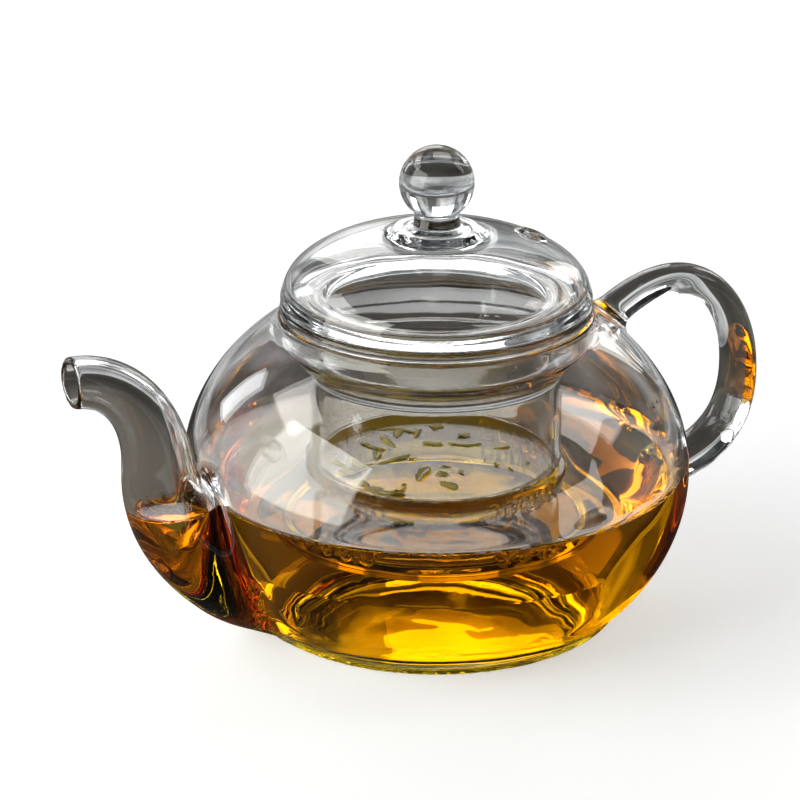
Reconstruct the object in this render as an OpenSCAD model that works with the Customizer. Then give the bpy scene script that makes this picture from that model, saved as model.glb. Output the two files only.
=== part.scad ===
// Glass teapot with a lift-out glass infuser and a domed lid.
// Millimetres. The origin is the centre of the foot's underside and +Z is up.
// The spout points along -X and the handle along +X.

/* [Bowl] */
// Widest diameter of the bowl
bowl_d = 132.4; // [128:0.2:138]
// Height of the widest point above the table
belly_z = 38; // [37:0.5:39]
// Rise of the bowl's curve above its widest point
crown = 51.3; // [51:0.1:53]
// Drop of the bowl's curve below its widest point
keel = 53.5; // [52:0.1:55]
// Thickness of the blown wall
wall = 2.2; // [1.8:0.1:2.4]
// Extra thickness of the wall low down, where the glass runs heavy
heavy = 3.8; // [2:0.1:4]
// Height of the foot ring
foot_h = 2.4; // [2:0.1:3]
// Radial width of the foot ring
foot_w = 10; // [6:0.5:14]
// Thickness of the bowl's floor
floor_t = 2.6; // [2:0.1:3]
// Height of the mouth's top face
mouth_z = 81; // [80.5:0.1:82]
// Clear diameter of the mouth
mouth_d = 77.2; // [76.9:0.1:77.8]
// Width of the mouth's rolled edge
mouth_edge = 2; // [1.6:0.1:2.2]

/* [Spout] */
// Distance from the bowl's axis to the spout's tip
spout_reach = 101; // [97:0.5:104]
// Height of the spout's tip
spout_tip_z = 78.6; // [76:0.2:80]
// Distance from the bowl's axis to the spout's upright run
spout_run = 78.8; // [78:0.2:80]
// Height at which the spout leaves the bowl
spout_root_z = 26; // [25:0.5:27]
// Outer diameter where the spout is fused to the bowl
spout_root_d = 34; // [32:0.2:35]
// Outer diameter at the tip
spout_tip_d = 13.2; // [12:0.2:14]
// Wall of the spout
spout_wall = 1.8; // [1.4:0.1:2]

/* [Handle] */
// Distance from the bowl's axis to the middle of the handle's far side
handle_reach = 93; // [90:0.5:96]
// Height of the top of the handle's centre line
handle_top_z = 78.2; // [76:0.2:80]
// Height of the handle's far side
handle_side_z = 49.5; // [47:0.5:52]
// Height at which the handle comes back to the bowl
handle_low_z = 22; // [21:0.5:24]
// Thickness of the handle, at the top and where it comes back to the bowl
handle_t = [8, 10];
// Width of the handle, at the top and where it comes back to the bowl
handle_w = [11.4, 15];

/* [Infuser] */
// Outer diameter of the infuser's cup
cup_d = 65.2; // [62:0.2:66]
// Wall of the infuser
cup_wall = 2; // [1.6:0.1:2.2]
// Height of the infuser's underside above the table
cup_z = 23.5; // [20:0.5:26]
// Thickness of the infuser's floor
cup_floor = 2.5; // [2:0.1:3]
// Height at which the infuser starts to flare
flare_z = 64.5; // [60:0.5:66]
// Height over which it flares
flare_h = 8; // [6:0.5:9]
// Gap between the flared neck and the mouth, all round
neck_gap = 0.4; // [0.3:0.05:0.6]
// Thickness of the flange that hangs on the mouth
flange_h = 2.5; // [2:0.1:3]
// Outer diameter of the flange
flange_d = 80.8; // [80.2:0.1:82]
// Groups of straining slots round the cup
slot_groups = 4; // [3:1:6]
// Slots in each group
slots_each = 5; // [3:1:5]
// Angle from one slot to the next
slot_pitch = 9; // [7:0.5:11]
// Width of a slot
slot_w = 2.4; // [1.2:0.1:3]
// Height of a slot
slot_h = 10; // [6:0.5:20]
// Angle of the first group from the handle
slot_turn = 17; // [0:1:90]

/* [Lid] */
// Outer diameter of the lid's seat
seat_d = 80; // [79:0.2:81]
// Thickness of the lid's seat
seat_h = 3; // [2.5:0.1:3.5]
// Outer diameter of the dome where it meets the seat
dome_d = 79.2; // [78:0.2:79.4]
// Height of the dome above the seat
dome_h = 16.3; // [14:0.1:19]
// Wall of the dome
dome_wall = 2.2; // [1.8:0.1:2.6]
// Outer diameter of the collar that keeps the lid on while pouring
collar_d = 59.2; // [56:0.2:60]
// Depth of the collar below the seat
collar_h = 14.5; // [8:0.5:16]
// Wall of the collar
collar_wall = 1.8; // [1.6:0.1:2.2]
// Diameter of the steam hole
vent_d = 4.4; // [3:0.2:6]
// Distance of the steam hole from the lid's axis
vent_r = 26; // [20:0.5:28]
// Angle of the steam hole from the handle
vent_turn = -8; // [-180:1:180]
// Diameter of the knob's ball
knob_d = 19.3; // [17:0.1:22]
// Height of the knob's stem
stem_h = 4.2; // [3.6:0.1:5]
// Diameter of the ring of glass round the stem
stem_d = 11.8; // [10.8:0.2:13]

/* [Hidden] */
eps = 0.01;
round_fn = 96;

bowl_r = bowl_d/2;
mouth_r = mouth_d/2;
floor_z = foot_h + floor_t;
neck_r = mouth_r - neck_gap;
cup_r = cup_d/2;
flange_top = mouth_z + flange_h;
seat_top = flange_top + seat_h;
dome_top = seat_top + dome_h;
collar_r = collar_d/2;
bore_r = collar_r - collar_wall;
stem_r = stem_d/2;
stem_top = dome_top + stem_h;
knob_r = knob_d/2;
// Radius at which the ball sits on the stem, and its centre's height
knob_seat_r = 0.8*stem_r;
knob_z = stem_top + sqrt(knob_r*knob_r - knob_seat_r*knob_seat_r);

// Point of a bowl curve at angle t: below the belly for t < 0, above it for t > 0
function bowl_at(t, a, up, down) = [a*cos(t), belly_z + (t > 0 ? up : down)*sin(t)];
function bowl_arc(t0, t1, a, up, down, n = 26) =
    [for (i = [0:n]) bowl_at(t0 + (t1 - t0)*i/n, a, up, down)];
function reversed(v) = [for (i = [len(v) - 1:-1:0]) v[i]];

// Points of a cubic Bezier curve, without its last point
function bezier(p, n) = [for (i = [0:n - 1]) let (t = i/n, u = 1 - t)
    u*u*u*p[0] + 3*u*u*t*p[1] + 3*u*t*t*p[2] + t*t*t*p[3]];

// Curves of the bowl, outside and inside
outer_curve = bowl_arc(-asin((belly_z - foot_h)/keel),
                       acos((mouth_r + mouth_edge)/bowl_r), bowl_r, crown, keel);
in_r = bowl_r - wall;
in_up = crown - wall;
in_down = keel - wall - heavy;
inner_curve = bowl_arc(-asin((belly_z - floor_z)/in_down),
                       acos(mouth_r/in_r), in_r, in_up, in_down);

module bowl_solid() rotate_extrude($fn = round_fn)
    polygon(concat([[0, foot_h]], outer_curve, [[mouth_r + mouth_edge, mouth_z], [0, mouth_z]]));

module bowl_cavity() rotate_extrude($fn = round_fn)
    polygon(concat([[0, floor_z]], inner_curve, [[mouth_r, mouth_z + 1], [0, mouth_z + 1]]));

// Skin over rings of equal point count, closed by a flat cap at each end
module skin(rings) {
    n = len(rings[0]);
    last = (len(rings) - 1)*n;
    polyhedron(
        points = [for (r = rings) each r],
        faces = concat(
            [[for (j = [n - 1:-1:0]) j]],
            [for (i = [0:len(rings) - 2], j = [0:n - 1]) let (a = i*n + j, b = i*n + (j + 1)%n)
                each [[a, b, b + n], [a, b + n, a + n]]],
            [[for (j = [0:n - 1]) last + j]]),
        convexity = 6);
}

// Elliptical ring square to a path in the XZ plane: ra in the plane, rb across it
function path_dir(p, i) = let (d = p[min(i + 1, len(p) - 1)] - p[max(i - 1, 0)]) d/norm(d);
function ring(p, i, ra, rb, n) = let (d = path_dir(p, i))
    [for (j = [0:n - 1]) let (a = 360*j/n)
        [p[i][0] - d[1]*ra*cos(a), rb*sin(a), p[i][1] + d[0]*ra*cos(a)]];

// Spout: a straight root inside the bowl, then an S up to the tip
spout_mid = [-spout_run, spout_root_z + 0.48*(spout_tip_z - spout_root_z)];
spout_path = concat(
    [[-0.63*bowl_r, spout_root_z - 9]],
    bezier([[-0.85*bowl_r, spout_root_z - 3], [-1.02*bowl_r, spout_root_z + 2],
            [-spout_run + 1.2, spout_mid[1] - 14], spout_mid], 9),
    bezier([spout_mid, spout_mid + [-0.6, 15],
            [-spout_reach + 14, spout_tip_z], [-spout_reach, spout_tip_z]], 9),
    [[-spout_reach, spout_tip_z]]);
function spout_r(i) = let (s = max(0, i - 1)/(len(spout_path) - 2))
    spout_tip_d/2 + (spout_root_d - spout_tip_d)/2*pow(1 - s, 1.9);

module spout_outside()
    skin([for (i = [0:len(spout_path) - 1]) ring(spout_path, i, spout_r(i), spout_r(i), 28)]);

module spout_bore() {
    last = len(spout_path) - 1;
    longer = [for (i = [0:last]) spout_path[i] + [i == 0 ? 1 : i == last ? -1 : 0, 0]];
    skin([for (i = [0:last]) let (r = spout_r(i) - spout_wall) ring(longer, i, r, r, 28)]);
}

// Handle: up off the shoulder, over, down the far side and back to the bowl
handle_path = concat(
    bezier([[0.66*bowl_r, handle_top_z - 12], [0.79*bowl_r, handle_top_z - 5.8],
            [0.92*bowl_r, handle_top_z], [1.07*bowl_r, handle_top_z]], 7),
    bezier([[1.07*bowl_r, handle_top_z], [handle_reach - 9.5, handle_top_z],
            [handle_reach, handle_side_z + 16.5], [handle_reach, handle_side_z]], 7),
    bezier([[handle_reach, handle_side_z], [handle_reach, handle_side_z - 16],
            [handle_reach - 9, handle_low_z + 2.6], [0.89*bowl_r, handle_low_z]], 7),
    [[0.89*bowl_r, handle_low_z]]);
function handle_grow(i) = pow(max(0, i/(len(handle_path) - 1) - 0.35)/0.65, 1.2);

module handle_solid() skin([for (i = [0:len(handle_path) - 1]) let (g = handle_grow(i))
    ring(handle_path, i, (handle_t[0] + (handle_t[1] - handle_t[0])*g)/2,
         (handle_w[0] + (handle_w[1] - handle_w[0])*g)/2, 24)]);

// Neck of the infuser: from the cup's radius out to the neck's, as a smooth S
function flare(r0, r1, lift, n = 8) = [for (i = [0:n])
    [r0 + (r1 - r0)*(1 - cos(180*i/n))/2, flare_z + lift + flare_h*i/n]];

// Ring with rounded outer edges
module rounded_ring(r_in, r_out, h, edge) rotate_extrude($fn = round_fn)
    polygon([[r_in, 0], [r_out - edge, 0], [r_out - 0.3*edge, 0.3*edge], [r_out, edge],
             [r_out, h - edge], [r_out - 0.3*edge, h - 0.3*edge], [r_out - edge, h], [r_in, h]]);

// Blown bowl with its rolled mouth; the hole for the spout is open
module pot_bowl() color("lightsteelblue") difference() {
    rotate_extrude($fn = round_fn)
        polygon(concat([[0, foot_h]], outer_curve,
                       [[mouth_r + mouth_edge, mouth_z - 0.8],
                        [mouth_r + mouth_edge - 0.8, mouth_z],
                        [mouth_r + 0.4, mouth_z], [mouth_r, mouth_z - 0.4]],
                       reversed(inner_curve), [[0, floor_z]]));
    spout_outside();
}

// Ring that the pot stands on
module pot_foot() color("slategray") {
    top_r = outer_curve[0][0] - 0.4;
    rotate_extrude($fn = round_fn)
        polygon([[top_r - foot_w, 0], [top_r - 3, 0], [top_r - 1.6, 0.3*foot_h],
                 [top_r, foot_h], [top_r - foot_w, foot_h]]);
}

// Swan-neck spout, open from the bowl to the tip
module spout() color("skyblue") difference() {
    spout_outside();
    spout_bore();
    bowl_cavity();
}

// Solid loop handle
module handle() color("steelblue") difference() {
    handle_solid();
    bowl_solid();
}

// Cup of the infuser with its flared neck and sawn slots
module infuser_cup() color("khaki") difference() {
    rotate_extrude($fn = round_fn)
        polygon(concat([[cup_r - cup_wall, cup_z + cup_floor], [cup_r, cup_z + cup_floor]],
                       flare(cup_r, neck_r, 0), [[neck_r, mouth_z], [neck_r - cup_wall, mouth_z]],
                       reversed(flare(cup_r - cup_wall, neck_r - cup_wall, 0.8))));
    for (g = [0:slot_groups - 1], k = [0:slots_each - 1])
        rotate(slot_turn + 360*g/slot_groups + slot_pitch*(k - (slots_each - 1)/2))
            translate([cup_r - cup_wall - 1, -slot_w/2, cup_z + cup_floor + 1])
                cube([cup_wall + 2, slot_w, slot_h]);
}

// Flange that hangs the infuser on the mouth
module infuser_flange() color("goldenrod") translate([0, 0, mouth_z])
    rounded_ring(neck_r - cup_wall, flange_d/2, flange_h, 0.8);

// Flat floor of the infuser
module infuser_floor() color("peru") translate([0, 0, cup_z]) rotate_extrude($fn = round_fn)
    polygon([[0, 0], [cup_r - 1.2, 0], [cup_r - 0.3, 0.4], [cup_r, 1.3],
             [cup_r, cup_floor], [0, cup_floor]]);

// Seat of the lid, which rests on the flange
module lid_seat() color("plum") translate([0, 0, flange_top])
    rounded_ring(bore_r, seat_d/2, seat_h, 0.9);

// Hollow dome with its steam hole
module lid_dome() color("thistle") {
    a = dome_d/2;
    tilt = atan2(dome_h*vent_r, a*sqrt(a*a - vent_r*vent_r));
    vent_z = seat_top + dome_h*sqrt(1 - pow(vent_r/a, 2));
    difference() {
        rotate_extrude($fn = round_fn)
            polygon(concat(
                [for (i = [0:22]) let (t = 82*i/22) [a*cos(t), seat_top + dome_h*sin(t)]],
                [[0, seat_top + dome_h*sin(82)]],
                [[0, dome_top - dome_wall]],
                [for (i = [21:-1:0]) let (t = 90*i/22)
                    [(a - dome_wall)*cos(t), seat_top + (dome_h - dome_wall)*sin(t)]]));
        rotate(vent_turn) translate([vent_r, 0, vent_z]) rotate([0, tilt, 0])
            cylinder(d = vent_d, h = 6*dome_wall, center = true, $fn = 48);
    }
}

// Collar that hangs inside the infuser's neck
module lid_collar() color("orchid") translate([0, 0, flange_top - collar_h])
    rotate_extrude($fn = round_fn)
        polygon([[bore_r + 0.5, 0], [collar_r - 0.5, 0], [collar_r, 0.5],
                 [collar_r, collar_h], [bore_r, collar_h], [bore_r, 0.5]]);

// Short stem with a ring of glass where the ball is fused on
module knob_stem() color("silver") {
    low = seat_top + dome_h*sin(82);
    h = stem_top - low;
    rotate_extrude($fn = round_fn)
        polygon([[0, low], [0.93*stem_r, low], [0.86*stem_r, low + 0.24*h],
                 [0.97*stem_r, low + 0.45*h], [stem_r, low + 0.62*h],
                 [0.95*stem_r, low + 0.82*h], [knob_seat_r, stem_top], [0, stem_top]]);
}

// Solid ball to lift the lid by
module knob_ball() color("white") intersection() {
    translate([0, 0, knob_z]) sphere(r = knob_r, $fn = 72);
    translate([0, 0, stem_top + 2*knob_r]) cube(4*knob_r, center = true);
}

pot_bowl();
pot_foot();
spout();
handle();
infuser_cup();
infuser_flange();
infuser_floor();
lid_seat();
lid_dome();
lid_collar();
knob_stem();
knob_ball();
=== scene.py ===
"""Glass teapot with a lift-out glass infuser, a domed lid and tea in it: looks, on the CAD frame.

Lengths in the shape code are millimetres, and meshes are written in metres. Each glass body is
one closed surface, as blown and welded glass is, taken from a smooth distance field that repeats
the CAD's own curves."""

import math

import bmesh
import bpy
import numpy as np
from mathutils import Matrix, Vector


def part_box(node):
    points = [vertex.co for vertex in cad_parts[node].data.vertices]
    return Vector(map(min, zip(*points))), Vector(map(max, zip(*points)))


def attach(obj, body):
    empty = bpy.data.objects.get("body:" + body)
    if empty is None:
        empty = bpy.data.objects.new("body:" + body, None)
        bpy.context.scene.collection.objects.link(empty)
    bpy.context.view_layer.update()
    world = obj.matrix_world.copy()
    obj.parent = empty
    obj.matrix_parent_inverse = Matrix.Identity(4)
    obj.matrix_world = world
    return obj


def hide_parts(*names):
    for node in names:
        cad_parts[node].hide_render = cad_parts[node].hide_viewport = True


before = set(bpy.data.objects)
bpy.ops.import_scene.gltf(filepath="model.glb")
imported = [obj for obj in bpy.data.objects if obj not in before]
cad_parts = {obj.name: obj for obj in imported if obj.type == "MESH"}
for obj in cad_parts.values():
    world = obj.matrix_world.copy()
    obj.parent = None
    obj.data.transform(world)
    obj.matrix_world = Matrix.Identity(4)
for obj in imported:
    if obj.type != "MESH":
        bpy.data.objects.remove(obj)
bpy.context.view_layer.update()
rng = np.random.default_rng(7)


def corner(node, end, axis):
    """One number of a CAD node's box, in millimetres."""
    return float(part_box(node)[end][axis]) * 1000


# Sizes that come from the CAD frame
BELLY_R = corner("pot_bowl", 1, 1)
MOUTH_Z = corner("pot_bowl", 1, 2)
FOOT_H = corner("pot_bowl", 0, 2)
FLANGE_R = corner("infuser_flange", 1, 1)
FLANGE_TOP = corner("infuser_flange", 1, 2)
CUP_Z = corner("infuser_floor", 0, 2)
CUP_FLOOR = corner("infuser_floor", 1, 2)
CUP_R = corner("infuser_floor", 1, 1)
SEAT_R = corner("lid_seat", 1, 1)
SEAT_TOP = corner("lid_seat", 1, 2)
COLLAR_R = corner("lid_collar", 1, 1)
COLLAR_LOW = corner("lid_collar", 0, 2)
DOME_TOP = corner("knob_stem", 0, 2)
KNOB_TOP = corner("knob_ball", 1, 2)
KNOB_R = corner("knob_ball", 1, 1)
TIP_X = corner("spout", 0, 0)

# Sizes the frame's boxes don't give, as in the CAD: the bowl's widest height, its half-heights
# above and below that, its wall, the extra glass at its base, its mouth, and its inside floor
BELLY_Z, CROWN, KEEL = 38.0, 51.3, 53.5
WALL, HEAVY = 2.2, 3.8
MOUTH_R, MOUTH_EDGE = 38.6, 2.0
FLOOR_Z = 5.0
# Height of the tea, and how far and over what distance it climbs a wall
TEA_Z, TEA_RISE, TEA_CLING = 39.1, 1.7, 1.8


# ---------------------------------------------------------------- fields
def smin(a, b, k):
    h = np.maximum(k - np.abs(a - b), 0) / k
    return np.minimum(a, b) - h * h * k * 0.25


def smax(a, b, k):
    return -smin(-a, -b, k)


def egg(r, z, a, up, down, zc):
    """Distance to a spheroid whose height differs above and below its widest ring."""
    b = np.where(z > zc, up, down)
    q = z - zc
    k0 = np.sqrt((r / a) ** 2 + (q / b) ** 2)
    k1 = np.sqrt((r / a**2) ** 2 + (q / b**2) ** 2)
    return k0 * (k0 - 1) / np.maximum(k1, 1e-9)


def slab(r, z, r0, r1, z0, z1, edge):
    """Distance to a ring of rectangular section with rounded edges."""
    qr = np.abs(r - (r0 + r1) / 2) - (r1 - r0) / 2 + edge
    qz = np.abs(z - (z0 + z1) / 2) - (z1 - z0) / 2 + edge
    out = np.sqrt(np.maximum(qr, 0) ** 2 + np.maximum(qz, 0) ** 2)
    return out + np.minimum(np.maximum(qr, qz), 0) - edge


def ball(p, centre, r):
    return np.sqrt(((p - np.array(centre)) ** 2).sum(1)) - r


def bezier(p, n):
    p = np.array(p, float)
    t = (np.arange(n) / n)[:, None]
    u = 1 - t
    return u**3 * p[0] + 3 * u * u * t * p[1] + 3 * u * t * t * p[2] + t**3 * p[3]


def spline(knots, values, at):
    """Natural cubic spline through values at knots, read at the points at."""
    n = len(knots)
    h = np.diff(knots)
    m = np.zeros((n, n))
    rhs = np.zeros((n, values.shape[1]))
    m[0, 0] = m[-1, -1] = 1
    for i in range(1, n - 1):
        m[i, i - 1], m[i, i], m[i, i + 1] = h[i - 1], 2 * (h[i - 1] + h[i]), h[i]
        rhs[i] = 6 * (
            (values[i + 1] - values[i]) / h[i] - (values[i] - values[i - 1]) / h[i - 1]
        )
    c = np.linalg.solve(m, rhs)
    i = np.clip(np.searchsorted(knots, at) - 1, 0, n - 2)
    a = ((knots[i + 1] - at) / h[i])[:, None]
    b = 1 - a
    hh = (h[i] ** 2)[:, None] / 6
    return (
        a * values[i]
        + b * values[i + 1]
        + ((a**3 - a) * c[i] + (b**3 - b) * c[i + 1]) * hh
    )


class Tube:
    """A bent tube in the XZ plane, as dense samples of its centre line and its sizes."""

    def __init__(self, path, sizes, n=360):
        path, sizes = np.array(path, float), np.array(sizes, float).reshape(
            len(path), -1
        )
        knots = np.concatenate(
            [[0], np.cumsum(np.linalg.norm(np.diff(path, axis=0), axis=1))]
        )
        at = np.linspace(0, knots[-1], n)
        self.c = spline(knots, path, at)
        self.size = spline(knots, sizes, at)
        self.step = knots[-1] / (n - 1)
        d = np.gradient(self.c, axis=0)
        self.t = d / np.linalg.norm(d, axis=1)[:, None]
        self.n = np.stack([-self.t[:, 1], self.t[:, 0]], 1)

    def nearest(self, p, swell):
        """Sample nearest each point, less swell times the first size, and the least distance."""
        best, least = np.empty(len(p), int), np.empty(len(p))
        for a in range(0, len(p), 20000):
            q = p[a : a + 20000]
            d = np.sqrt(
                (q[:, :1] - self.c[:, 0]) ** 2
                + (q[:, 2:] - self.c[:, 1]) ** 2
                + q[:, 1:2] ** 2
            )
            d -= swell * self.size[:, 0]
            i = d.argmin(1)
            rows = np.arange(len(q))
            lo, mid, hi = (
                d[rows, np.maximum(i - 1, 0)],
                d[rows, i],
                d[rows, np.minimum(i + 1, len(self.c) - 1)],
            )
            inner = (i > 0) & (i < len(self.c) - 1)
            bow = np.maximum(lo - 2 * mid + hi, 1e-9)
            best[a : a + 20000] = i
            least[a : a + 20000] = np.where(inner, mid - (hi - lo) ** 2 / (8 * bow), mid)
        return best, least

    def section(self, p):
        """(offset in the plane, offset across it, sizes there, distance past the tube's ends)."""
        best, _ = self.nearest(p, 0)
        d = p[:, [0, 2]] - self.c[best]
        along, w = (d * self.t[best]).sum(1), (d * self.n[best]).sum(1)
        last = len(self.c) - 1
        i = np.clip(best + np.sign(along).astype(int), 0, last)
        f = np.clip(np.abs(along) / self.step, 0, 1)[:, None]
        size = self.size[best] * (1 - f) + self.size[i] * f
        over = np.where(best == 0, -along, np.where(best == last, along, -9.0))
        return w, p[:, 1], size, over


# Spout: straight root inside the bowl, then an S up to the tip, as in the CAD
spout_path = np.concatenate(
    [
        [[-0.63 * BELLY_R, 17]],
        bezier([(-0.85 * BELLY_R, 23), (-1.02 * BELLY_R, 28), (-77.6, 37.25), (-78.8, 51.25)], 9),
        bezier([(-78.8, 51.25), (-79.4, 66.25), (TIP_X + 14, 78.6), (TIP_X, 78.6)], 9),
        [[TIP_X, 78.6], [TIP_X - 3, 78.55], [TIP_X - 6, 78.5]],
    ]
)
spout_s = np.clip((np.arange(22) - 1) / 18, 0, 1)
SPOUT = Tube(spout_path, 6.6 + 10.4 * (1 - spout_s) ** 1.9)
SPOUT_WALL = 2.0

# Handle: up off the shoulder, over, down the far side and back to the bowl, as in the CAD
handle_path = np.concatenate(
    [
        bezier(
            [
                (0.66 * BELLY_R, 66.2),
                (0.79 * BELLY_R, 72.4),
                (0.92 * BELLY_R, 78.2),
                (1.07 * BELLY_R, 78.2),
            ],
            7,
        ),
        bezier([(1.07 * BELLY_R, 78.2), (83.5, 78.2), (93, 66), (93, 49.5)], 7),
        bezier([(93, 49.5), (93, 33.5), (84, 24.6), (0.89 * BELLY_R, 22)], 7),
        [[0.89 * BELLY_R, 22]],
    ]
)
grow = (np.maximum(0, np.arange(22) / 21 - 0.35) / 0.65) ** 1.2
HANDLE = Tube(handle_path, np.stack([4 + grow, 5.7 + 1.8 * grow], 1))


def spout_round(p):
    """Distance to the spout's outside, which runs on past its tip and into the bowl."""
    f = np.full(len(p), 40.0)
    m = (p[:, 0] < -34) & (np.abs(p[:, 1]) < 27)
    if m.any():
        f[m] = SPOUT.nearest(p[m], 1)[1]
        f[m] = np.maximum(f[m], (p[m][:, [0, 2]] - SPOUT.c[0]) @ -SPOUT.t[0])
    return f


def handle_solid(p):
    f = np.full(len(p), 40.0)
    m = (p[:, 0] > 34) & (np.abs(p[:, 1]) < 22)
    if m.any():
        w, y, size, over = HANDLE.section(p[m])
        a, b = size[:, 0], size[:, 1]
        k0 = np.sqrt((w / a) ** 2 + (y / b) ** 2)
        k1 = np.sqrt((w / a**2) ** 2 + (y / b**2) ** 2)
        f[m] = np.maximum(k0 * (k0 - 1) / np.maximum(k1, 1e-6), over)
    return f


def bowl_outside(p):
    r, z = np.hypot(p[:, 0], p[:, 1]), p[:, 2]
    body = egg(r, z, BELLY_R, CROWN, KEEL, BELLY_Z)
    body = smax(body, FOOT_H - z, 1.0)
    body = smin(body, slab(r, z, 39.2, 48.6, 0, FOOT_H + 0.6, 1.15), 1.6)
    neck = smax(r - MOUTH_R - MOUTH_EDGE, 66 - z, 1)
    return smax(smin(body, neck, 3.0), z - MOUTH_Z, 1.0)


def pot_cavity(p, spout=None):
    r, z = np.hypot(p[:, 0], p[:, 1]), p[:, 2]
    in_r = BELLY_R - WALL
    inside = egg(r, z, in_r, CROWN - WALL, KEEL - WALL - HEAVY, BELLY_Z)
    inside = smax(inside, FLOOR_Z - z, 5.0)
    inside = smin(inside, np.maximum(r - MOUTH_R, 62 - z), 3.0)
    bore = (spout_round(p) if spout is None else spout) + SPOUT_WALL
    return smin(inside, smax(bore, FLOOR_Z + 1.4 - z, 2.0), 3.0)


def pot_field(p):
    spout = spout_round(p)
    outside = smax(smax(spout, TIP_X - p[:, 0], 1.1), FOOT_H + 0.2 - p[:, 2], 2.0)
    outside = smin(bowl_outside(p), outside, 4.5)
    outside = smin(outside, handle_solid(p), 4.5)
    return smax(outside, -pot_cavity(p, spout), 0.7)


# Infuser
NECK_R = MOUTH_R - 0.4
CUP_WALL = 2.0
SLOT_TURN, SLOT_PITCH, SLOT_W = math.radians(17), math.radians(9), 2.4
SLOT_LOW, SLOT_HIGH = CUP_FLOOR + 1.0, CUP_FLOOR + 11.0


def flare(z, r0, r1, z0):
    t = np.clip((z - z0) / 8.0, 0, 1)
    return r0 + (r1 - r0) * (1 - np.cos(np.pi * t)) / 2


def lathe_wave(r, z):
    """The slow rings that turning by hand leaves in the lid's seat and in the flange under it."""
    across = np.exp(-(((r - 35) / 5.5) ** 4))
    upright = np.clip((z - 81.3) / 1.2, 0, 1) * np.clip((90 - z) / 3, 0, 1)
    return 0.17 * np.sin(2 * np.pi * (r - 29) / 4.7) * across * upright


def infuser_field(p):
    r, z = np.hypot(p[:, 0], p[:, 1]), p[:, 2]
    z = z - lathe_wave(r, z)
    outer = r - flare(z, CUP_R, NECK_R, 64.5)
    inner = r - flare(z, CUP_R - CUP_WALL, NECK_R - CUP_WALL, 65.3)
    cup = smax(smax(outer * 0.92, CUP_Z - z, 2.4), z - FLANGE_TOP, 1.0)
    flange = slab(r, z, NECK_R - 3, FLANGE_R, MOUTH_Z + 0.06, FLANGE_TOP, 1.1)
    solid = smin(cup, flange, 0.5)
    hollow = smax(inner * 0.92, CUP_FLOOR - z, 2.0)
    f = smax(solid, -hollow, 0.9)
    m = (z > SLOT_LOW - 4) & (z < SLOT_HIGH + 4)
    if m.any():
        turn = np.arctan2(p[m, 1], p[m, 0]) - SLOT_TURN
        turn = (turn + np.pi / 4) % (np.pi / 2) - np.pi / 4
        k = np.clip(np.round(turn / SLOT_PITCH), -2, 2)
        t = r[m] * np.sin(turn - k * SLOT_PITCH)
        half = (SLOT_HIGH - SLOT_LOW - SLOT_W) / 2
        mid = (SLOT_HIGH + SLOT_LOW) / 2
        slot = np.hypot(t, np.maximum(np.abs(z[m] - mid) - half, 0)) - SLOT_W / 2
        slot = np.maximum(slot, 26 - r[m])
        f[m] = smax(f[m], -slot, 0.7)
    return f


# Lid
DOME_A, DOME_H, DOME_WALL = 39.6, 16.3, 2.2
BORE_R = COLLAR_R - 1.8
KNOB_Z = KNOB_TOP - KNOB_R
VENT_R, VENT_TURN, VENT_D = 26.0, math.radians(-8), 4.4
vent_z = SEAT_TOP + DOME_H * math.sqrt(1 - (VENT_R / DOME_A) ** 2)
vent_tilt = math.atan2(DOME_H * VENT_R, DOME_A * math.sqrt(DOME_A**2 - VENT_R**2))
vent_at = np.array([VENT_R * math.cos(VENT_TURN), VENT_R * math.sin(VENT_TURN), vent_z])
vent_axis = np.array(
    [
        math.sin(vent_tilt) * math.cos(VENT_TURN),
        math.sin(vent_tilt) * math.sin(VENT_TURN),
        math.cos(vent_tilt),
    ]
)


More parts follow.
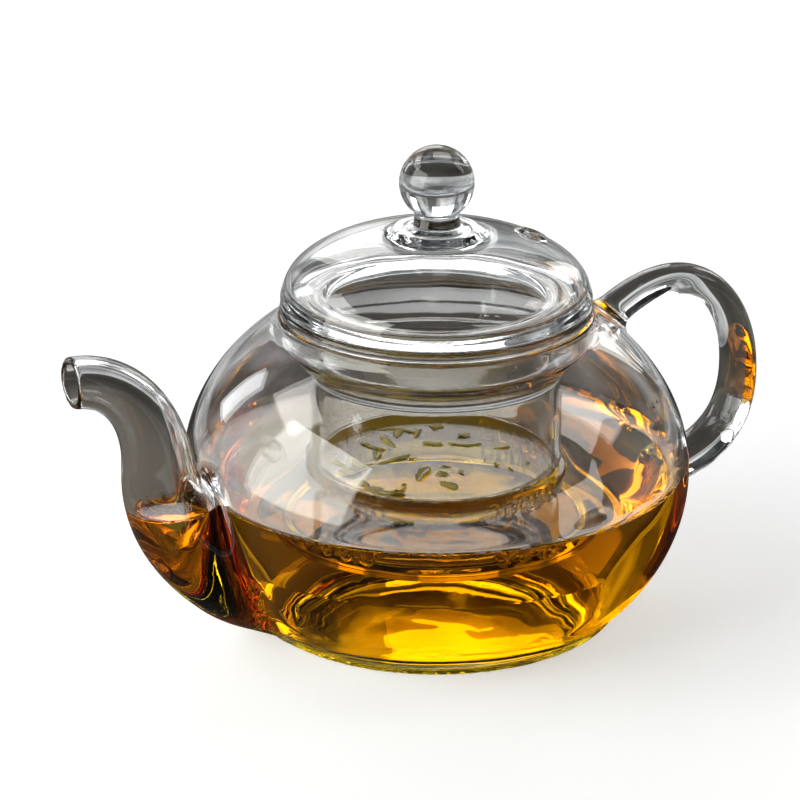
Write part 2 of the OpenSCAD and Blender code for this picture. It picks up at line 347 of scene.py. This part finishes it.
def lid_field(p):
    x, y, z = p.T
    r = np.hypot(x, y)
    turn = np.arctan2(y, x)
    z = z - lathe_wave(r, z)
    dome = egg(r, z, DOME_A, DOME_H, DOME_H, SEAT_TOP)
    dome = np.maximum(dome, SEAT_TOP - 2 - z)
    seat = slab(r, z, BORE_R - 2, SEAT_R, FLANGE_TOP + 0.06, SEAT_TOP, 1.3)
    collar = slab(r, z, BORE_R - 2, COLLAR_R, COLLAR_LOW, FLANGE_TOP + 2, 0.6)
    solid = smin(smin(dome, seat, 1.6), collar, 1.2)
    # melted pad where the knob was joined on, with slack rings in it
    ripple = 0.22 * np.cos(r * 1.75 + 0.5 * np.sin(2 * turn + 0.6)) * np.exp(-((r - 8) ** 2) / 18)
    ripple += 0.10 * np.sin(3 * turn + r * 0.6) * np.exp(-((r - 9) ** 2) / 14)
    pad = egg(r, z, 12.5, 2.0, 2.0, DOME_TOP - 0.45) - ripple
    solid = smin(solid, pad, 2.2)
    stem = slab(r, z, -5.2, 5.2, DOME_TOP - 2, KNOB_Z - KNOB_R + 2, 1.0)
    ring = slab(r, z, -5.9, 5.9, DOME_TOP + 1.6, DOME_TOP + 4.0, 1.15)
    knob = smin(ball(p, (0, 0, KNOB_Z), KNOB_R), smin(stem, ring, 1.0), 1.6)
    solid = smin(solid, knob, 1.8)
    hollow = smax(
        egg(r, z, DOME_A - DOME_WALL, DOME_H - DOME_WALL, DOME_H - DOME_WALL, SEAT_TOP - 0.3),
        SEAT_TOP - 0.3 + 0.13 * (r - 33) - z,
        1.6,
    )
    hollow = smin(hollow, np.maximum(r - BORE_R, z - SEAT_TOP - 3), 1.2)
    f = smax(solid, -hollow, 0.7)
    d = p - vent_at
    along = d @ vent_axis
    away = np.sqrt(np.maximum((d**2).sum(1) - along**2, 0))
    rim = np.sqrt((away - VENT_D / 2 - 0.9) ** 2 + (along + 0.2) ** 2) - 1.0
    f = np.where(away < 8, smin(f, np.where(np.abs(along) < 4, rim, 9.0), 0.8), f)
    vent = np.maximum(away - VENT_D / 2, np.abs(along) - 6)
    return smax(f, -vent, 0.6)


# ---------------------------------------------------------------- meshing
def gradient(field, p, h=0.2):
    g = np.empty_like(p)
    for a in range(3):
        e = np.zeros(3)
        e[a] = h
        g[:, a] = (field(p + e) - field(p - e)) / (2 * h)
    return g


def steps(*parts):
    """Grid lines: (from, to, spacing) runs one after another."""
    out = [parts[0][0]]
    for a, b, s in parts:
        n = max(1, round((b - a) / s))
        out += list(a + (b - a) * np.arange(1, n + 1) / n)
    return np.array(out)


def surface(field, xs, ys, zs, relax=2):
    """Closed quad mesh of field = 0, one vertex for each grid cell that the surface crosses."""
    nx, ny, nz = len(xs), len(ys), len(zs)
    v = np.empty((nx, ny, nz))
    for a in range(0, nx, 10):
        g = np.meshgrid(xs[a : a + 10], ys, zs, indexing="ij")
        v[a : a + 10] = field(np.stack([c.ravel() for c in g], 1)).reshape(g[0].shape)
    ins = v < 0
    count = sum(
        ins[i : nx - 1 + i, j : ny - 1 + j, k : nz - 1 + k].astype(np.int8)
        for i in (0, 1)
        for j in (0, 1)
        for k in (0, 1)
    )
    cells = np.argwhere((count > 0) & (count < 8))
    index = np.full((nx - 1, ny - 1, nz - 1), -1)
    index[tuple(cells.T)] = np.arange(len(cells))
    axes = (xs, ys, zs)
    total, hits = np.zeros((len(cells), 3)), np.zeros(len(cells))
    for axis in range(3):
        for s in (0, 1):
            for t in (0, 1):
                low = cells.copy()
                low[:, (axis + 1) % 3] += s
                low[:, (axis + 2) % 3] += t
                high = low.copy()
                high[:, axis] += 1
                a, b = v[tuple(low.T)], v[tuple(high.T)]
                m = (a < 0) != (b < 0)
                f = a[m] / (a[m] - b[m])
                pos = np.stack([axes[c][low[m, c]] for c in range(3)], 1)
                pos[:, axis] += f * (axes[axis][high[m, axis]] - axes[axis][low[m, axis]])
                total[m] += pos
                hits[m] += 1
    p = total / hits[:, None]
    quads = []
    for axis in range(3):
        b, c = (axis + 1) % 3, (axis + 2) % 3
        lo = [slice(None)] * 3
        hi = [slice(None)] * 3
        lo[axis], hi[axis] = slice(0, -1), slice(1, None)
        for d in (b, c):
            lo[d] = hi[d] = slice(1, -1)
        s0, s1 = ins[tuple(lo)], ins[tuple(hi)]
        e = np.argwhere(s0 != s1)
        out = s0[tuple(e.T)]
        e[:, b] += 1
        e[:, c] += 1
        ring = []
        for sb, sc in ((-1, -1), (0, -1), (0, 0), (-1, 0)):
            q = e.copy()
            q[:, b] += sb
            q[:, c] += sc
            ring.append(index[tuple(q.T)])
        ring = np.stack(ring, 1)
        ring[~out] = ring[~out, ::-1]
        quads.append(ring)
    quads = np.concatenate(quads)
    edges = np.concatenate([quads[:, [i, (i + 1) % 4]] for i in range(4)])
    for turn in range(relax + 1):
        for _ in range(2 if turn < relax else 4):
            f, g = field(p), gradient(field, p)
            p -= np.clip(f / np.maximum((g**2).sum(1), 0.2), -0.6, 0.6)[:, None] * g
        if turn < relax:
            mean = np.stack(
                [np.bincount(edges[:, 0], p[edges[:, 1], c], len(p)) for c in range(3)], 1
            )
            n = np.bincount(edges[:, 0], minlength=len(p))[:, None]
            p += 0.5 * (mean / n - p)
    g = gradient(field, p)
    return p, quads, g / np.linalg.norm(g, axis=1)[:, None]


def build(name, p, quads, normals=None, material=None):
    """A mesh object in metres from points in millimetres."""
    mesh = bpy.data.meshes.new(name)
    mesh.vertices.add(len(p))
    mesh.vertices.foreach_set("co", (p / 1000).astype(np.float32).ravel())
    k = quads.shape[1]
    mesh.loops.add(quads.size)
    mesh.loops.foreach_set("vertex_index", quads.astype(np.int32).ravel())
    mesh.polygons.add(len(quads))
    mesh.polygons.foreach_set("loop_start", np.arange(0, quads.size, k, dtype=np.int32))
    mesh.polygons.foreach_set("use_smooth", np.ones(len(quads), bool))
    mesh.update(calc_edges=True)
    mesh.validate()
    if normals is not None:
        mesh.normals_split_custom_set_from_vertices(normals.astype(np.float32))
    obj = bpy.data.objects.new(name, mesh)
    bpy.context.collection.objects.link(obj)
    if material:
        mesh.materials.append(material)
    return obj


def read(items, what):
    a = np.empty(len(items) * 3, np.float32)
    items.foreach_get(what, a)
    return a.reshape(-1, 3).astype(float)


# ---------------------------------------------------------------- materials
def new_material(name):
    mat = bpy.data.materials.new(name)
    mat.use_nodes = True
    nt = mat.node_tree
    return mat, nt, nt.nodes["Principled BSDF"]


def node(nt, kind, **values):
    n = nt.nodes.new(kind)
    for key, value in values.items():
        if key in n.inputs:
            n.inputs[key].default_value = value
        else:
            setattr(n, key, value)
    return n


def link(nt, source, socket):
    nt.links.new(source, socket)


def map_range(nt, source, low_high, to):
    """source, taken from low..high to the new range."""
    n = node(nt, "ShaderNodeMapRange")
    for socket, value in zip(("From Min", "From Max", "To Min", "To Max"), (*low_high, *to)):
        n.inputs[socket].default_value = value
    link(nt, source, n.inputs["Value"])
    return n.outputs["Result"]


def colours(nt, source, stops):
    """Colour ramp on source, through (position, colour) stops in rising order."""
    n = node(nt, "ShaderNodeValToRGB")
    e = n.color_ramp.elements
    for end in (0, -1):
        e[end].position, e[end].color = stops[end][0], (*stops[end][1], 1)
    for at, colour in stops[1:-1]:
        e.new(at).color = (*colour, 1)
    link(nt, source, n.inputs["Fac"])
    return n.outputs["Color"]


def noise(nt, vector, **values):
    n = node(nt, "ShaderNodeTexNoise", **values)
    if vector:
        link(nt, vector, n.inputs["Vector"])
    return n.outputs["Fac"]


def relief(nt, bsdf, height, distance, strength=1.0):
    bump = node(nt, "ShaderNodeBump", Strength=strength, Distance=distance)
    link(nt, height, bump.inputs["Height"])
    link(nt, bump.outputs["Normal"], bsdf.inputs["Normal"])


def clear(bsdf, ior):
    bsdf.inputs["Base Color"].default_value = (1, 1, 1, 1)
    bsdf.inputs["Transmission Weight"].default_value = 1.0
    bsdf.inputs["IOR"].default_value = ior


def tinted(nt, density, colour):
    """Light loses the rest of this colour on its way through."""
    volume = node(nt, "ShaderNodeVolumeAbsorption", Density=density)
    volume.inputs["Color"].default_value = (*colour, 1)
    link(nt, volume.outputs["Volume"], nt.nodes["Material Output"].inputs["Volume"])


def glass(name, ior=1.47, absorb=0.0, tint=(0.30, 0.33, 0.31), swirl=0.0):
    """Blown glass: clear, with slow waves in its surface and a faint handling film.

    absorb and tint make it grey in its depth, and swirl deepens the waves near the base."""
    mat, nt, bsdf = new_material(name)
    clear(bsdf, ior)
    place = node(nt, "ShaderNodeTexCoord").outputs["Object"]
    height = noise(nt, place, Scale=34.0, Detail=2.0, Roughness=0.4)
    if swirl:
        # the base of a blown bowl is where the glass was gathered, so it is the least even
        low = node(nt, "ShaderNodeSeparateXYZ")
        uneven = node(nt, "ShaderNodeMath", operation="MULTIPLY")
        link(nt, place, low.inputs["Vector"])
        link(nt, map_range(nt, low.outputs["Z"], (0.001, 0.026), (swirl, 1.0)), uneven.inputs[0])
        link(nt, height, uneven.inputs[1])
        height = uneven.outputs["Value"]
    relief(nt, bsdf, height, 0.00025)
    film = noise(nt, place, Scale=160.0, Detail=5.0, Roughness=0.6)
    link(nt, map_range(nt, film, (0.45, 0.8), (0.0, 0.035)), bsdf.inputs["Roughness"])
    if absorb:
        tinted(nt, absorb, tint)
    return mat


pot_mat = glass("pot_glass", swirl=4.0)
# Where tea wets the wall, light bends only by the difference between glass and tea
wet_mat = glass("pot_glass_wet", ior=1.103, swirl=4.0)
infuser_mat = glass("infuser_glass", absorb=8.0)
lid_mat = glass("lid_glass", absorb=18.0, tint=(0.30, 0.34, 0.36))


def tea_skin(name, ior):
    """Clear liquid with the faintest unrest in its surface."""
    mat, nt, bsdf = new_material(name)
    clear(bsdf, ior)
    bsdf.inputs["Roughness"].default_value = 0.0
    place = node(nt, "ShaderNodeTexCoord").outputs["Object"]
    relief(nt, bsdf, noise(nt, place, Scale=45.0, Detail=1.0), 0.0001)
    return mat, nt


# The tea's body only colours the light; its surface sheet bends and reflects it
tea_mat, nt = tea_skin("tea_body", 1.0)
tinted(nt, 100.0, (0.989, 0.892, 0.0))
sheet_mat, _ = tea_skin("tea_surface", 1.333)

leaf_mat, nt, bsdf = new_material("tea_leaf")
place = node(nt, "ShaderNodeTexCoord").outputs["Object"]
OLIVE = ((0.30, (0.50, 0.34, 0.045)), (0.5, (0.86, 0.68, 0.10)), (0.70, (0.98, 0.84, 0.20)))
mottle = noise(nt, place, Scale=420.0, Detail=4.0)
link(nt, colours(nt, mottle, OLIVE), bsdf.inputs["Base Color"])
veins = node(nt, "ShaderNodeTexWave", Scale=500.0, Distortion=6.0, Detail=2.0)
link(nt, place, veins.inputs["Vector"])
relief(nt, bsdf, veins.outputs["Fac"], 0.0002, strength=0.5)
bsdf.inputs["Roughness"].default_value = 0.3
bsdf.inputs["Specular IOR Level"].default_value = 0.25

# ---------------------------------------------------------------- glass
ON_WALL = 0.4  # a face this near the cavity's surface is on the inside of the pot
p, q, _ = surface(
    pot_field,
    steps((-104, -48, 1.0), (-48, 44, 1.35), (44, 100.5, 1.2)),
    steps((-68.5, -24, 1.35), (-24, 24, 1.1), (24, 68.5, 1.35)),
    steps((-1.5, 7, 0.85), (7, 75, 1.1), (75, 86.6, 0.85)),
)
pot = build("pot_glass", p, q, None, pot_mat)
pot.data.materials.append(wet_mat)
# cut the inner wall's faces along the tea line, and give those below it the wet glass
bm = bmesh.new()
bm.from_mesh(pot.data)
line = TEA_Z + TEA_RISE
mid = np.array([f.calc_center_median() for f in bm.faces]) * 1000
near = np.abs(mid[:, 2] - line) < 2
near[near] = np.abs(pot_cavity(mid[near])) < ON_WALL
bm.faces.ensure_lookup_table()
faces = [bm.faces[i] for i in np.flatnonzero(near)]
parts = faces + [e for f in faces for e in f.edges] + [v for f in faces for v in f.verts]
parts = list(dict.fromkeys(parts))
bmesh.ops.bisect_plane(bm, geom=parts, dist=1e-7, plane_co=(0, 0, line / 1000), plane_no=(0, 0, 1))
bm.to_mesh(pot.data)
bm.free()
p = read(pot.data.vertices, "co") * 1000
mid = read(pot.data.polygons, "center") * 1000
wet = mid[:, 2] < line
wet[wet] = np.abs(pot_cavity(mid[wet])) < ON_WALL
pot.data.polygons.foreach_set("material_index", wet.astype(np.int32))
pot.data.polygons.foreach_set("use_smooth", np.ones(len(wet), bool))
n = gradient(pot_field, p)
n /= np.linalg.norm(n, axis=1)[:, None]
pot.data.normals_split_custom_set_from_vertices(n.astype(np.float32))
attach(pot, "pot")
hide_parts("pot_bowl", "pot_foot", "spout", "handle")

p, q, n = surface(
    infuser_field,
    steps((-42, 42, 0.75)),
    steps((-42, 42, 0.75)),
    steps((21.5, 40, 0.65), (40, 79.5, 1.1), (79.5, 85, 0.55)),
)
infuser = build("infuser_glass", p, q, n, infuser_mat)
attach(infuser, "infuser")
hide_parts("infuser_cup", "infuser_flange", "infuser_floor")

p, q, n = surface(
    lid_field,
    steps((-42, 42, 0.8)),
    steps((-42, 42, 0.8)),
    steps((67.5, 82, 1.0), (82, 127, 0.7)),
)
lid = build("lid_glass", p, q, n, lid_mat)
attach(lid, "lid")
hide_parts("lid_seat", "lid_dome", "lid_collar", "knob_stem", "knob_ball")


# ---------------------------------------------------------------- tea
def tea_wall(p):
    return pot_cavity(p) - 0.25


def tea_top(p):
    wall, cup = np.clip(pot_cavity(p), -30, 0.3), np.clip(infuser_field(p), -0.3, 30)
    rise = TEA_RISE * (np.exp(wall / TEA_CLING) + np.exp(-cup / TEA_CLING))
    return p[:, 2] - TEA_Z - rise


def tea_field(p):
    return np.maximum(tea_wall(p), tea_top(p))


p, q, _ = surface(
    tea_field,
    steps((-92, 66, 1.2)),
    steps((-66, 66, 1.2)),
    steps((3.5, 36.5, 1.3), (36.5, 43, 0.65)),
    relax=0,
)
# bring the points near the tea's edge onto it, so that the edge is sharp
a, b = tea_wall(p), tea_top(p)
rim = (np.abs(a) < 0.7) & (np.abs(b) < 0.7)
e = p[rim]
for _ in range(8):
    for f in (tea_wall, tea_top):
        g = gradient(f, e, 0.05)
        e = e - np.clip(f(e) / np.maximum((g**2).sum(1), 0.2), -0.4, 0.4)[:, None] * g
p[rim] = e
a, b = tea_wall(p), tea_top(p)
tea = build("tea_body", p, q, None, tea_mat)
tea.data.normals_split_custom_set_from_vertices(
    np.where((b > a)[:, None], gradient(tea_top, p, 0.05), gradient(tea_wall, p)).astype(np.float32)
)
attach(tea, "pot")

SHEET_GAP = 0.03
top = (b > -0.02)[q].all(1)
keep, again = np.unique(q[top], return_inverse=True)
sheet = build(
    "tea_surface",
    p[keep] + (0, 0, SHEET_GAP),
    again.reshape(-1, 4),
    gradient(tea_top, p[keep], 0.05),
    sheet_mat,
)
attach(sheet, "pot")


# ---------------------------------------------------------------- leaves
ALONG, ACROSS = 15, 5  # points along and across one side of a leaf
LEAVES, WHOLE_LEAVES = 34, 24


def leaf(at, turn, length, width, curl):
    """A torn, curled bit of leaf, thin at its edges."""
    u = np.linspace(-1, 1, ALONG)
    v = np.tile(np.linspace(-1, 1, ACROSS), ALONG)
    torn = 1 + 0.22 * rng.standard_normal(ALONG)
    half = width / 2 * (1 - np.abs(u) ** rng.uniform(1.6, 3.2)) ** 0.75 * torn
    bow = rng.uniform(-0.16, 0.16) * length
    side = bow * (1 - u**2) + 0.05 * width * rng.standard_normal(ALONG)
    wave = 0.10 * np.sin(u * rng.uniform(2, 4) + rng.uniform(0, 6))
    x, half = np.repeat(u * length / 2, ACROSS), np.repeat(half, ACROSS)
    y = np.repeat(side, ACROSS) + half * v
    z = curl * (v**2 - 0.3) * half + np.repeat(wave, ACROSS)
    thick = 0.11 * (1 - v**2) * np.repeat(1 - u**4, ACROSS)
    c, s = math.cos(turn), math.sin(turn)
    flat = np.stack([x * c - y * s, x * s + y * c], 1) + at[:2]
    sides = [np.column_stack([flat, at[2] + z + t]) for t in (thick, -thick)]
    i, j = np.meshgrid(np.arange(ALONG - 1), np.arange(ACROSS - 1), indexing="ij")
    k = (i * ACROSS + j).ravel()
    q = np.stack([k, k + ACROSS, k + ACROSS + 1, k + 1], 1)
    return np.concatenate(sides), np.concatenate([q, q[:, ::-1] + ALONG * ACROSS])


bits, quads, total = [], [], 0
room = CUP_R - CUP_WALL - 1.6
for i in range(LEAVES):
    whole = i < WHOLE_LEAVES
    length = rng.uniform(3.5, 11.0) if whole else rng.uniform(1.0, 3.0)
    width = rng.uniform(1.6, 3.4) if whole else rng.uniform(0.7, 1.4)
    far = (room - length / 2) * math.sqrt(rng.uniform(0.0, 1.0))
    turn = rng.uniform(0, 2 * math.pi)
    # more of them drift toward the spout's side and the back
    at = np.array([far * math.cos(turn) - 4.0, far * math.sin(turn) + 4.0, TEA_Z])
    at[2] += rng.uniform(0.1, 0.45)
    if math.hypot(at[0], at[1]) + length / 2 > room:
        at[:2] *= (room - length / 2) / math.hypot(at[0], at[1])
    v, q = leaf(at, rng.uniform(0, math.pi), length, width, rng.uniform(-0.7, 0.9))
    bits.append(v)
    quads.append(q + total)
    total += len(v)
leaves = build("tea_leaves", np.concatenate(bits), np.concatenate(quads), None, leaf_mat)
bm = bmesh.new()
bm.from_mesh(leaves.data)
bmesh.ops.remove_doubles(bm, verts=bm.verts, dist=2e-6)
bm.to_mesh(leaves.data)
bm.free()
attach(leaves, "pot")


# ---------------------------------------------------------------- stage
def seen_by_camera(nt, camera, others, output):
    """One shader or background for the camera's own rays, another for light and for the glass."""
    path = node(nt, "ShaderNodeLightPath")
    mix = node(nt, "ShaderNodeMixShader")
    link(nt, path.outputs["Is Camera Ray"], mix.inputs[0])
    link(nt, others, mix.inputs[1])
    link(nt, camera, mix.inputs[2])
    link(nt, mix.outputs["Shader"], nt.nodes[output].inputs["Surface"])


# What the camera sees: a pale floor that stays pale as far as it goes
floor_mat, nt, bsdf = new_material("floor")
bsdf.inputs["Roughness"].default_value = 0.7
grain = noise(nt, None, Scale=3.0, Detail=3.0)
link(nt, map_range(nt, grain, (0, 1), (0.72, 0.75)), bsdf.inputs["Base Color"])
bsdf.inputs["Emission Color"].default_value = (1, 1, 1, 1)
place = node(nt, "ShaderNodeNewGeometry").outputs["Position"]
span = node(nt, "ShaderNodeVectorMath", operation="LENGTH")
link(nt, place, span.inputs[0])
far = map_range(nt, span.outputs["Value"], (0.5, 1.8), (0.55, 0.93))
link(nt, far, bsdf.inputs["Emission Strength"])

# What the glass sees: a dark, uneven table near the pot and a pale one past TABLE metres
TABLE, TABLE_END = 0.275, 0.282
table = [(0.05, (0.10, 0.09, 0.075)), (0.12, (0.10, 0.092, 0.08)), (TABLE, (0.10, 0.094, 0.085))]
table += [(TABLE_END, (0.62, 0.63, 0.64)), (0.6, (0.62, 0.63, 0.64))]
flat = node(nt, "ShaderNodeVectorMath", operation="MULTIPLY")
flat.inputs[1].default_value = (1, 1, 0)
away = node(nt, "ShaderNodeVectorMath", operation="LENGTH")
link(nt, place, flat.inputs[0])
link(nt, flat.outputs["Vector"], away.inputs[0])
reach = table[-1][0]
fit = map_range(nt, away.outputs["Value"], (0, reach), (0, 1))
shade = colours(nt, fit, [(at / reach, colour) for at, colour in table])
patchy = noise(nt, None, Scale=24.0, Detail=3.0)
uneven = node(nt, "ShaderNodeVectorMath", operation="SCALE")
link(nt, shade, uneven.inputs[0])
link(nt, map_range(nt, patchy, (0.38, 0.62), (0.3, 1.8)), uneven.inputs["Scale"])
matt = node(nt, "ShaderNodeBsdfDiffuse")
link(nt, uneven.outputs["Vector"], matt.inputs["Color"])
seen_by_camera(nt, bsdf.outputs["BSDF"], matt.outputs["BSDF"], "Material Output")

SIDES = 96
ang = np.linspace(0, 2 * np.pi, SIDES + 1)[:-1]
radii = np.array([0.0005, 250, 700, 1500, 4000])
rings = [np.stack([r * np.cos(ang), r * np.sin(ang), 0 * ang - 0.02], 1) for r in radii]
here = np.arange(SIDES)
over = (here + 1) % SIDES
quads = np.concatenate(
    [
        np.stack([here, here + SIDES, over + SIDES, over], 1) + i * SIDES
        for i in range(len(radii) - 1)
    ]
)
floor = build("floor", np.concatenate(rings), quads, None, floor_mat)

# The room: pale behind the pot for the camera, and of uneven brightness for the glass
scene = bpy.context.scene
world = bpy.data.worlds.new("studio")
scene.world = world
world.use_nodes = True
nt = world.node_tree
back = nt.nodes["Background"]
pale = node(nt, "ShaderNodeBackground")
pale.inputs["Color"].default_value = (0.95, 0.95, 0.95, 1)
place = node(nt, "ShaderNodeTexCoord").outputs["Generated"]
split = node(nt, "ShaderNodeSeparateXYZ")
link(nt, place, split.inputs["Vector"])
BY_HEIGHT = (
    (0.0, (0.30, 0.29, 0.27)),
    (0.10, (0.44, 0.445, 0.45)),
    (0.60, (0.42, 0.43, 0.45)),
    (0.70, (0.13, 0.132, 0.138)),
    (1.0, (0.10, 0.103, 0.108)),
)
# darker and lighter things stand in it, which is what draws streaks along the glass
tall = node(nt, "ShaderNodeVectorMath", operation="MULTIPLY")
tall.inputs[1].default_value = (1, 1, 0.35)
link(nt, place, tall.inputs[0])
things = noise(nt, tall.outputs["Vector"], Scale=4.5, Detail=3.0)
THINGS = ((0.40, (0.22, 0.22, 0.22)), (0.50, (0.8, 0.8, 0.8)), (0.62, (1.3, 1.3, 1.3)))
both = node(nt, "ShaderNodeMix", data_type="RGBA", blend_type="MULTIPLY")
both.inputs["Factor"].default_value = 1.0
link(nt, colours(nt, split.outputs["Z"], BY_HEIGHT), both.inputs[6])
link(nt, colours(nt, things, THINGS), both.inputs[7])
link(nt, both.outputs[2], back.inputs["Color"])
# and the wall behind the pot is the bright one
front_back = node(nt, "ShaderNodeVectorMath", operation="DOT_PRODUCT")
front_back.inputs[1].default_value = (0.25, 0.97, 0.0)
link(nt, place, front_back.inputs[0])
wall = map_range(nt, front_back.outputs["Value"], (-0.15, 0.75), (0.14, 1.9))
link(nt, wall, back.inputs["Strength"])
seen_by_camera(nt, pale.outputs["Background"], back.outputs["Background"], "World Output")

# Soft lights, seen in the glass and not by the camera itself: name, azimuth, elevation and
# distance from the pot's middle, width and height, radiance, colour
POT_MIDDLE = 0.05
LIGHTS = (
    ("window_1", 159.8, 24, 1.7, (0.77, 0.70), 2.3, (1, 1, 0.98)),
    ("window_2", 203, 17, 1.7, (0.26, 0.60), 4.0, (0.96, 0.985, 1)),
    ("left_high", -128, 42, 1.5, (0.7, 0.42), 3.8, (1, 0.99, 0.97)),
    ("left", -92, 21, 1.45, (1.3, 1.15), 4.8, (0.98, 1, 0.94)),
    ("right_back", 123, 16, 1.3, (0.22, 0.5), 3.0, (1, 0.97, 0.93)),
    ("right", 75, 35, 1.4, (0.3, 0.7), 2.6, (0.97, 0.98, 1)),
    ("top", 171, 84, 1.4, (0.10, 0.20), 2.0, (1, 1, 1)),
)


def direction(azimuth, elevation):
    """Unit vector at an azimuth from the pot's front and a height above level, in degrees."""
    a, e = math.radians(azimuth), math.radians(elevation)
    return Vector((math.sin(a) * math.cos(e), -math.cos(a) * math.cos(e), math.sin(e)))


def look(obj, at):
    obj.rotation_euler = (at - obj.location).to_track_quat("-Z", "Y").to_euler()


middle = Vector((0, 0, POT_MIDDLE))
for name, azimuth, elevation, distance, size, radiance, tint in LIGHTS:
    light = bpy.data.lights.new(name, "AREA")
    light.shape = "RECTANGLE"
    light.size, light.size_y = size
    light.energy = radiance * math.pi * size[0] * size[1]
    light.color = tint
    lamp = bpy.data.objects.new(name, light)
    lamp.location = middle + direction(azimuth, elevation) * distance
    look(lamp, middle)
    lamp.visible_camera = False
    bpy.context.collection.objects.link(lamp)

# ---------------------------------------------------------------- camera
cam_data = bpy.data.cameras.new("camera")
cam_data.lens, cam_data.sensor_width = 155.9, 36
cam_data.clip_start, cam_data.clip_end = 0.01, 50
cam = bpy.data.objects.new("camera", cam_data)
bpy.context.collection.objects.link(cam)
VIEW_AZIMUTH, VIEW_ELEVATION, VIEW_DISTANCE = -28, 21, 0.9
LEFT_OF_AXIS, BELOW_AIM = 0.00935, 0.00364
back_dir = direction(VIEW_AZIMUTH, VIEW_ELEVATION)
aim = Vector((0, 0, 0.060))
cam.location = aim + back_dir * VIEW_DISTANCE
right = Vector((0, 0, 1)).cross(back_dir).normalized()
up = back_dir.cross(right)
look(cam, aim - right * LEFT_OF_AXIS - up * BELOW_AIM)
scene.camera = cam

scene.view_settings.view_transform = "Standard"
scene.cycles.max_bounces = 40
scene.cycles.transmission_bounces = 40
scene.cycles.glossy_bounces = 12
scene.cycles.transparent_max_bounces = 24
scene.cycles.use_denoising = True
